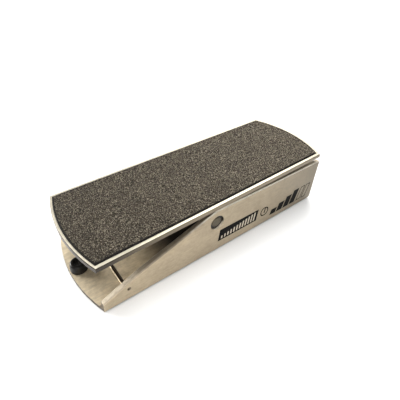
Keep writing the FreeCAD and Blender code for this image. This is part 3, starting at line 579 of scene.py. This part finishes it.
def grip_sheet():
    """Grit sheet with real grains standing up from its top face, inside a narrow bare edge."""
    normal, along, low, high = sheet_axes("grip_pad")
    mesh = nodes["grip_pad"].data
    half = max(v.co.x for v in mesh.vertices)
    places = [(v.co.x, v.co.dot(along)) for v in mesh.vertices]
    corners = [place for x, place in places if abs(x) > half * 0.999]
    heel_corner, toe_corner = min(corners), max(corners)
    heel_apex = min(place for _, place in places)
    toe_apex = max(place for _, place in places)
    across = int(2 * half / CELL)
    length = int((toe_apex - heel_apex) / CELL)

    verts = []
    for j in range(length + 1):
        for i in range(across + 1):
            u = -half + 2 * half * i / across
            v = j / length
            if i in (0, across) or j in (0, length):
                rise = -EDGE_DROP
            else:
                u += rng.uniform(-JITTER, JITTER) * CELL
                v += rng.uniform(-JITTER, JITTER) / length
                rise = GRAIN * rng.random() ** FLATNESS
            heel = bowed_end(u, half, heel_corner, heel_apex)
            toe = bowed_end(u, half, toe_corner, toe_apex)
            place = heel + (toe - heel) * v
            verts.append(Vector((u, 0, 0)) + along * place + normal * (high - GRAIN + rise))
    row = across + 1
    faces = []
    for j in range(length):
        for i in range(across):
            a = j * row + i
            faces.append((a, a + 1, a + row + 1, a + row))

    rim = list(range(row))
    rim += [j * row + across for j in range(1, length + 1)]
    rim += [length * row + i for i in range(across - 1, -1, -1)]
    rim += [j * row for j in range(length - 1, 0, -1)]
    first = len(verts)
    count = len(rim)
    for index in rim:
        point = verts[index]
        verts.append(point + normal * (low - point.dot(normal)))
    for k, m in ring_pairs(count):
        faces.append((rim[m], rim[k], first + k, first + m))
    faces.append(tuple(first + k for k in reversed(range(count))))

    sheet = mesh_object("grip_sheet", verts, faces, smooth=False)
    add_piece(sheet, "treadle", "grit", "grip_pad")
    sheet.data.materials.append(sheet_edge)
    for index, polygon in enumerate(sheet.data.polygons):
        j, i = divmod(index, across)
        if j >= length or min(i, across - 1 - i, j, length - 1 - j) < BORDER:
            polygon.material_index = 1


grip_sheet()


# ---------------------------------------------------------------- rubber bumpers

HEEL_RECESS = (3.3 * MM, 2.95 * MM)    # radius and depth of the recess for the heel bumper's screw
NO_RECESS = (0, 0)


def bumper_profile(radius, height, recess_radius, recess_depth):
    """Buffer with slightly tapered sides, a rounded top and any screw recess in it."""
    foot = 0.4 * MM
    lip = 0.5 * MM
    edge = min(1.7 * MM, height * 0.25)
    profile = [(0, 0), (radius - foot, 0), (radius, foot), (radius * 0.985, height * 0.35)]
    profile += arc_points(radius * 0.93 - edge, height - edge, edge, 0, 90, 8)
    if not recess_radius:
        return profile + [(0, height)]
    for degrees in (15, 45, 75, 90):
        turned = math.radians(degrees)
        profile.append((recess_radius + lip * (1 - math.sin(turned)), height - lip * (1 - math.cos(turned))))
    profile.append((recess_radius * 0.96, height - recess_depth))
    profile.append((0, height - recess_depth))
    return profile


def bumper(name, node, recess):
    low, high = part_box(node)
    centre = ((low.x + high.x) / 2, (low.y + high.y) / 2, low.z)
    profile = bumper_profile((high.x - low.x) / 2, high.z - low.z, *recess)
    add_piece(lathe(name, centre, profile), "housing", "rubber", node)


bumper("heel_buffer", "heel_bumper", HEEL_RECESS)
bumper("toe_buffer", "toe_bumper", NO_RECESS)


# ---------------------------------------------------------------- string drive

WIRE_RADIUS = 0.22 * MM
SPRING_TURNS = 14
SPRING_PLAY = 0.5 * MM       # the spring is this much shorter than its CAD solid
SPRING_HOOK = 1.2 * MM       # length of the hook at each end

STRING_RADIUS = 0.4 * MM
WRAP_RADIUS = 4.15 * MM      # from the drum's axis to the middle of the string on it
WRAP_TURNS = 2
WRAP_WIDTH = 1.8 * MM        # spread of the turns along the drum
HOOK_REACH = 0.4 * MM        # how far the string reaches into the spring's hook
HOOK_RISE = 0.15 * MM        # and how far above the spring's middle it lies there
BEND_BACK = 5.9 * MM         # the bend's middle is this far heelwards of the drum's axis
BEND_RADIUS = 1.42 * MM
BEND_TAIL = 1.0 * MM         # straight stretch after the bend
ANCHOR_AHEAD = 1.0 * MM      # the lower end is this far toewards of the bend
ANCHOR_RISE = 1.6 * MM       # and this far above the lowest point of the CAD string
RUN_SPANS = 14


def spring_coil():
    """Small tension spring with a straight hook at each end."""
    low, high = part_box("string_spring")
    middle = (low + high) / 2
    radius = (high.x - low.x) / 2 - WIRE_RADIUS
    half = (high.y - low.y - SPRING_PLAY) / 2
    hook_foot = half - SPRING_HOOK * 0.6
    normal, along, _, _ = sheet_axes("treadle_plate")
    points = [middle - along * half, middle - along * hook_foot]
    steps = SPRING_TURNS * 20
    for i in range(steps + 1):
        angle = 2 * math.pi * SPRING_TURNS * i / steps
        radial = Vector((math.cos(angle), 0, 0)) + normal * math.sin(angle)
        place = (half - SPRING_HOOK) * (2 * i / steps - 1)
        points.append(middle + along * place + radial * radius)
    points += [middle + along * hook_foot, middle + along * half]
    coil = tube_along("tension_spring", points, WIRE_RADIUS, sides=8)
    add_piece(coil, "treadle", "steel", "string_spring")


def string_pieces():
    """The drive string: its turns on the drum, the guided part on the treadle, and two runs between them."""
    spring_low, spring_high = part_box("string_spring")
    whole_low, whole_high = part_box("drive_string")
    x = (spring_low.x + spring_high.x) / 2
    _, axis_y, axis_z = joints["control_spin"]["pos_m"]
    centre = Vector((x, axis_y, axis_z))
    turn_points = []
    steps = WRAP_TURNS * 40
    for i in range(steps + 1):
        angle = 2 * math.pi * WRAP_TURNS * i / steps
        shift = (i / steps - 0.5) * WRAP_WIDTH
        around = Vector((shift, -WRAP_RADIUS * math.cos(angle), WRAP_RADIUS * math.sin(angle)))
        turn_points.append(centre + around)
    add_piece(tube_along("drive_string_turns", turn_points, STRING_RADIUS), "control_shaft", "string")

    up, along, _, _ = sheet_axes("treadle_plate")
    hook_z = (spring_low.z + spring_high.z) / 2 + HOOK_RISE
    bend = Vector((x, axis_y - BEND_BACK, whole_high.z - STRING_RADIUS - BEND_RADIUS))
    guided = [Vector((x, spring_high.y - HOOK_REACH, hook_z))]
    for ahead, rise in arc_points(0, 0, BEND_RADIUS, 90, 0, 8):
        guided.append(bend + along * ahead + up * rise)
    upper_end = guided[-1] - up * BEND_TAIL
    guided.append(upper_end)
    add_piece(tube_along("drive_string_guide", guided, STRING_RADIUS), "treadle", "string", "drive_string")

    lower_end = Vector((x, bend.y + BEND_RADIUS + ANCHOR_AHEAD, whole_low.z + ANCHOR_RISE))
    side = centre - Vector((0, WRAP_RADIUS, 0))
    half_width = Vector((WRAP_WIDTH / 2, 0, 0))
    for name, start, end in (("drive_string_upper", side + half_width, upper_end),
                             ("drive_string_lower", side - half_width, lower_end)):
        points = [start.lerp(end, i / RUN_SPANS) for i in range(RUN_SPANS + 1)]
        run = tube_along(name, points, STRING_RADIUS)
        run.data.materials.append(finishes["string"])
        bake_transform(run)


spring_coil()
string_pieces()


# ---------------------------------------------------------------- printed graphic on the right side wall

INK_THICKNESS = 0.05 * MM
INK_ROOT = 0.1 * MM          # how deep a print reaches into the wall, out of sight

# Places on the wall, in millimetres: y is towards the toe and z is up. A lean is how far
# the top of a shape is toewards of its foot, and a slant is the lean to each millimetre of height.
PANEL = (-11.6, 34.6, 10.2, 23.0)
PANEL_LEAN = 1.2
LEVEL_COUNT = 12
LEVEL_Y = -8.6
LEVEL_STEP = 3.5
LEVEL_WIDTH = 1.7
LEVEL_FOOT = 11.9
LEVEL_HEIGHTS = (2.4, 7.0)   # the part that all bars have, and what the tallest has on top of it
LEVEL_SLANT = 0.1
DIAL = (44.6, 16.4)
DIAL_RADIUS = 5.2
DIAL_BORE = 4.0
DIAL_POINTS = 40
POINTER = (43.9, 45.3, 14.6, 20.6)
POINTER_LEAN = 0.8
BAR_FOOT = 7.0
RAMP_COUNT = 4
RAMP_Y = 53.6
RAMP_STEP = 9.4
RAMP_WIDTH = 7.9
RAMP_HEIGHT = 6.2
RAMP_RISE = 3.3
RAMP_SLANT = 0.26
HOLLOW_COUNT = 2
HOLLOW_Y = 92.6
HOLLOW_STEP = 8.0
HOLLOW_WIDTH = 6.4
HOLLOW_TOP = 23.0
HOLLOW_LEAN = 4.2
HOLLOW_LINE = (1.1, 0.7, 0.8)    # the lines' widths at the foot: heel side, toe side, and top and bottom
HOLLOW_INNER_LEAN = 3.8


def slanted(y0, y1, z0, z1, lean):
    """Corners of an upright bar whose top leans toewards."""
    return [(y0, z0), (y1, z0), (y1 + lean, z1), (y0 + lean, z1)]


def circle(centre_y, centre_z, radius):
    points = []
    for i in range(DIAL_POINTS):
        angle = 2 * math.pi * i / DIAL_POINTS
        points.append((centre_y + radius * math.cos(angle), centre_z + radius * math.sin(angle)))
    return points


def place_yz(points):
    return [(y * MM, z * MM) for y, z in points]


def printed(name, outline, layer=1, ink=black_ink):
    """Print of one layer of ink, or more where it lies on other ink."""
    face_x = housing_high.x + INK_THICKNESS * layer
    piece = side_prism(name, place_yz(outline), housing_high.x - INK_ROOT, face_x)
    add_piece(piece, "housing", "satin_aluminium", material=ink)


def printed_ring(name, outer, inner):
    """Black line between two outlines."""
    face_x = housing_high.x + INK_THICKNESS
    piece = side_band(name, place_yz(outer), place_yz(inner), housing_high.x - INK_ROOT, face_x)
    add_piece(piece, "housing", "satin_aluminium", material=black_ink)


def wall_graphic():
    """Generic level graphic: a dark panel with rising pale bars, a dial, and black and hollow bars."""
    printed("print_panel", slanted(*PANEL, PANEL_LEAN))
    for i in range(LEVEL_COUNT):
        y = LEVEL_Y + i * LEVEL_STEP
        height = LEVEL_HEIGHTS[0] + LEVEL_HEIGHTS[1] * (i + 1) / LEVEL_COUNT
        bar = slanted(y, y + LEVEL_WIDTH, LEVEL_FOOT, LEVEL_FOOT + height, height * LEVEL_SLANT)
        printed(f"print_level_{i + 1:02d}", bar, 2, pale_ink)
    printed_ring("print_dial", circle(*DIAL, DIAL_RADIUS), circle(*DIAL, DIAL_BORE))
    printed("print_dial_pointer", slanted(*POINTER, POINTER_LEAN))
    for i in range(RAMP_COUNT):
        y = RAMP_Y + i * RAMP_STEP
        height = RAMP_HEIGHT + i * RAMP_RISE
        bar = slanted(y, y + RAMP_WIDTH, BAR_FOOT, BAR_FOOT + height, height * RAMP_SLANT)
        printed(f"print_ramp_{i + 1}", bar)
    heel_line, toe_line, end_line = HOLLOW_LINE
    for i in range(HOLLOW_COUNT):
        y = HOLLOW_Y + i * HOLLOW_STEP
        outer = slanted(y, y + HOLLOW_WIDTH, BAR_FOOT, HOLLOW_TOP, HOLLOW_LEAN)
        inner = slanted(y + heel_line, y + HOLLOW_WIDTH - toe_line,
                        BAR_FOOT + end_line, HOLLOW_TOP - end_line, HOLLOW_INNER_LEAN)
        printed_ring(f"print_hollow_bar_{i + 1}", outer, inner)


wall_graphic()


# ---------------------------------------------------------------- floor, sky and lights

FLOOR_HALF = 6.0
GLOW_FROM = 0.45             # metres from the object's middle: here the floor starts to fade to white
GLOW_FULL = 1.1              # and here it is all white
SKY_WHITE_TO = 0.24          # the sky is white below this height on a sphere of radius one
SKY_GREY_FROM = 0.42
SKY_GREY = 0.18
WARM_WHITE = (1.0, 0.985, 0.95)


def floor():
    corners = [(-FLOOR_HALF, -FLOOR_HALF, 0), (FLOOR_HALF, -FLOOR_HALF, 0),
               (FLOOR_HALF, FLOOR_HALF, 0), (-FLOOR_HALF, FLOOR_HALF, 0)]
    stage = mesh_object("floor", corners, [(0, 1, 2, 3)], smooth=False)
    s = Shader("pale_floor")
    cloud = s.noise(even(3.0))
    reach = s.add("ShaderNodeVectorMath", operation="LENGTH")
    s.link(s.coordinates, reach.inputs[0])
    glow = s.spread(reach.outputs["Value"], 0.0, 1.0, GLOW_FROM, GLOW_FULL)
    s.link(glow, s.bsdf.inputs["Emission Strength"])
    colour = s.ramp(cloud, [(0.3, (0.71, 0.722, 0.742)), (0.7, (0.73, 0.742, 0.762))])
    stage.data.materials.append(s.finish(colour, Roughness=0.7, Emission_Color=(*WHITE, 1.0)))


def sky():
    """White at the horizon and grey overhead."""
    world = bpy.data.worlds.new("studio")
    scene.world = world
    world.use_nodes = True
    tree = world.node_tree
    coordinates = tree.nodes.new("ShaderNodeTexCoord")
    split = tree.nodes.new("ShaderNodeSeparateXYZ")
    ramp = tree.nodes.new("ShaderNodeValToRGB")
    white, grey = ramp.color_ramp.elements
    white.position = SKY_WHITE_TO
    white.color = (*WHITE, 1.0)
    grey.position = SKY_GREY_FROM
    grey.color = (*even(SKY_GREY), 1.0)
    tree.links.new(coordinates.outputs["Generated"], split.inputs[0])
    tree.links.new(split.outputs["Z"], ramp.inputs["Fac"])
    tree.links.new(ramp.outputs["Color"], tree.nodes["Background"].inputs["Color"])
    tree.nodes["Background"].inputs["Strength"].default_value = 1.0


def soft_light(name, place, target, size, watts, colour=WARM_WHITE):
    light = bpy.data.lights.new(name, "AREA")
    light.shape = "DISK"
    light.size = size
    light.energy = watts
    light.color = colour
    obj = bpy.data.objects.new(name, light)
    obj.location = place
    obj.rotation_euler = (Vector(target) - Vector(place)).to_track_quat("-Z", "Y").to_euler()
    scene.collection.objects.link(obj)


floor()
sky()
soft_light("overhead", place=(0.0, 0.0, 1.5), target=(0, 0, 0), size=1.2, watts=24.0)
soft_light("toe_left", place=(-0.25, 0.35, 0.5), target=(0, 0.05, 0.04), size=0.4, watts=3.6)
soft_light("heel_left", place=(-0.9, -0.75, 0.35), target=(0, -0.1, 0), size=0.6, watts=27.0,
           colour=(1.0, 0.975, 0.93))
soft_light("heel_right", place=(0.36, -0.32, 0.2), target=(0.04, -0.07, 0.02), size=0.25, watts=1.25,
           colour=(1.0, 0.965, 0.90))


# ---------------------------------------------------------------- camera

# Metres, degrees and millimetres; the shift is in widths of the picture.
CAMERA_PLACE = (0.18879, -0.15694, 0.22468)
CAMERA_AZIMUTH = 51.076
CAMERA_ELEVATION = 34.652
CAMERA_ROLL = 3.257
CAMERA_LENS = 30.333
CAMERA_SENSOR = 36.0
CAMERA_SHIFT = (0.01045, -0.0765)
CAMERA_CLIP = (0.01, 50.0)


def camera():
    azimuth = math.radians(CAMERA_AZIMUTH)
    elevation = math.radians(CAMERA_ELEVATION)
    roll = math.radians(CAMERA_ROLL)
    back = Vector((math.sin(azimuth) * math.cos(elevation), -math.cos(azimuth) * math.cos(elevation),
                   math.sin(elevation)))
    right = Vector((math.cos(azimuth), math.sin(azimuth), 0))
    up = back.cross(right)
    rolled_right = right * math.cos(roll) + up * math.sin(roll)
    rolled_up = up * math.cos(roll) - right * math.sin(roll)
    turn = Matrix((rolled_right, rolled_up, back)).transposed().to_4x4()
    data = bpy.data.cameras.new("camera")
    data.sensor_width = CAMERA_SENSOR
    data.lens = CAMERA_LENS
    data.shift_x, data.shift_y = CAMERA_SHIFT
    data.clip_start, data.clip_end = CAMERA_CLIP
    obj = bpy.data.objects.new("camera", data)
    obj.matrix_world = Matrix.Translation(CAMERA_PLACE) @ turn
    scene.collection.objects.link(obj)
    scene.camera = obj


camera()
scene.view_settings.view_transform = "Standard"
